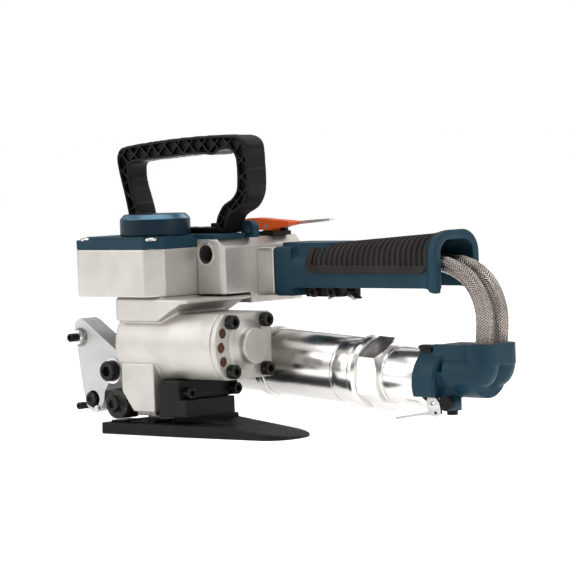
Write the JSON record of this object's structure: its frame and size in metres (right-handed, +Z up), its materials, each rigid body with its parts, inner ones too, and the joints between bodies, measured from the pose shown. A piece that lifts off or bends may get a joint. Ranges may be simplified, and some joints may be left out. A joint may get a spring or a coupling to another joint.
{
  "type": "pneumatic strapping tool",
  "caption": "Hand-held strapping tool: a rocking tension motor drives a feed wheel, and a pressed, oscillating jaw friction-welds the strap on a flat base with a tongue.",
  "frame": {"origin": "on the sole of the base plate, below the feed end of the welding leg", "axes": "+X along the grip towards the hose elbow, +Y away from the side where the strap is put in, +Z up"},
  "size_m": [0.3407, 0.128, 0.2076],
  "materials": {
    "cast_alloy": "satin blasted aluminium casting",
    "blackened_steel": "black oxide, slightly oily",
    "petrol_blue": "fine moulded texture",
    "black_nylon": "moulded glass-filled nylon",
    "grip_rubber": "matte ribbed rubber",
    "chromed_steel": "polished",
    "ground_steel": "ground",
    "silencer_bronze": "sintered",
    "vane_resin": "laminated resin",
    "braided_hose": "braided stainless wire",
    "lever_orange": "semi-gloss moulded"
  },
  "bodies": {
    "frame": {"base_plate": "blackened_steel", "strap_plates": "ground_steel", "main_casting": "cast_alloy", "end_cover": "cast_alloy", "silencer_plugs": "silencer_bronze", "weld_motor_liner": "ground_steel", "weld_motor_bearings": "ground_steel", "strap_guide": "blackened_steel", "body_screws": "blackened_steel", "upper_housing": "cast_alloy", "top_cover": "petrol_blue", "upper_screws": "chromed_steel", "cylinder_cap": "petrol_blue", "rear_block": "cast_alloy", "handle_adapter": "cast_alloy", "handle_shell": "petrol_blue", "grip_insert": "grip_rubber", "handle_valve": "blackened_steel", "carry_handle": "black_nylon", "suspension_lug": "petrol_blue", "link_plate": "ground_steel", "stop_screw": "ground_steel", "lock_nut": "chromed_steel", "pivot_shaft": "ground_steel", "lever_block": "blackened_steel", "lever_pins": "ground_steel", "braided_hoses": "braided_hose", "return_spring": "ground_steel"},
    "rocker": {"gear_case": "blackened_steel", "gear_case_lid": "blackened_steel", "gear_case_screws": "blackened_steel", "motor_tube": "chromed_steel", "motor_band": "chromed_steel", "motor_collar": "chromed_steel", "motor_nut": "chromed_steel", "motor_rear_cylinder": "chromed_steel", "tension_motor_bearings": "ground_steel", "tension_motor_liner": "ground_steel", "hose_elbow": "petrol_blue", "elbow_plugs": "black_nylon", "elbow_bracket": "ground_steel"},
    "motor_shaft": {"tension_rotor": "ground_steel", "bevel_pinion": "ground_steel"},
    "cross_train": {"cross_shaft": "ground_steel", "cross_gear": "ground_steel", "bevel_gear": "ground_steel"},
    "feed_train": {"feed_shaft": "ground_steel", "feed_wheel": "ground_steel", "feed_gear": "ground_steel", "wheel_screw": "blackened_steel"},
    "weld_shaft": {"weld_rotor": "ground_steel", "weld_rotor_vanes": "vane_resin"},
    "press": {"weld_piston": "ground_steel", "piston_seal": "grip_rubber", "jaw_holder": "ground_steel"},
    "jaw": {"weld_jaw": "ground_steel"},
    "weld_lever": {"weld_lever": "lever_orange"},
    "tension_lever": {"tension_lever": "ground_steel"},
    "trigger": {"handle_trigger": "ground_steel"},
    "elbow_lever": {"elbow_lever": "ground_steel"}
  },
  "joints": [
    {"name": "rocker_hinge", "type": "hinge", "parent": "frame", "child": "rocker", "pos_m": [-0.0557, 0, 0.023], "axis": [0, -1, 0], "range_deg": [0, 6.5], "stiffness_Nm_per_rad": 4, "springref_deg": -17.19, "deforming": ["braided_hoses"]},
    {"name": "tension_spin", "type": "hinge", "parent": "rocker", "child": "motor_shaft", "pos_m": [-0.05468, 0.072, 0.05231], "axis": [0.998, 0, -0.0628], "continuous": true},
    {"name": "cross_spin", "type": "hinge", "parent": "rocker", "child": "cross_train", "pos_m": [-0.05468, 0.072, 0.05231], "axis": [0, 1, 0], "continuous": true},
    {"name": "feed_spin", "type": "hinge", "parent": "rocker", "child": "feed_train", "pos_m": [-0.029, 0, 0.0206], "axis": [0, 1, 0], "continuous": true},
    {"name": "weld_spin", "type": "hinge", "parent": "frame", "child": "weld_shaft", "pos_m": [0, 0.013, 0.0617], "axis": [1, 0, 0], "continuous": true},
    {"name": "press_slide", "type": "slide", "parent": "frame", "child": "press", "axis": [0, 0, -1], "range_m": [0, 0.0033], "stiffness_N_per_m": 2000, "springref_m": -0.004, "deforming": ["return_spring"]},
    {"name": "jaw_oscillation", "type": "slide", "parent": "press", "child": "jaw", "axis": [0, 1, 0], "range_m": [-0.001, 0.001], "stiffness_N_per_m": 400},
    {"name": "weld_lever_hinge", "type": "hinge", "parent": "frame", "child": "weld_lever", "pos_m": [0.04, 0.08, 0.1415], "axis": [0, 1, 0], "range_deg": [0, 7], "stiffness_Nm_per_rad": 0.1, "springref_deg": -17.19},
    {"name": "tension_lever_hinge", "type": "hinge", "parent": "frame", "child": "tension_lever", "pos_m": [0.04, 0.08, 0.1415], "axis": [0, 1, 0], "range_deg": [0, 9], "stiffness_Nm_per_rad": 0.15, "springref_deg": -17.19},
    {"name": "trigger_hinge", "type": "hinge", "parent": "frame", "child": "trigger", "pos_m": [0.113, 0.072, 0.0974], "axis": [0, -1, 0], "range_deg": [0, 7], "stiffness_Nm_per_rad": 0.1, "springref_deg": -17.19},
    {"name": "elbow_lever_hinge", "type": "hinge", "parent": "rocker", "child": "elbow_lever", "pos_m": [0.206, 0.0588, 0.0156], "axis": [0, -1, 0], "range_deg": [0, 10]}
  ],
  "couplings": [
    {"joint": "cross_spin", "follows": "tension_spin", "ratio": 0.5},
    {"joint": "feed_spin", "follows": "tension_spin", "ratio": -0.91667}
  ]
}
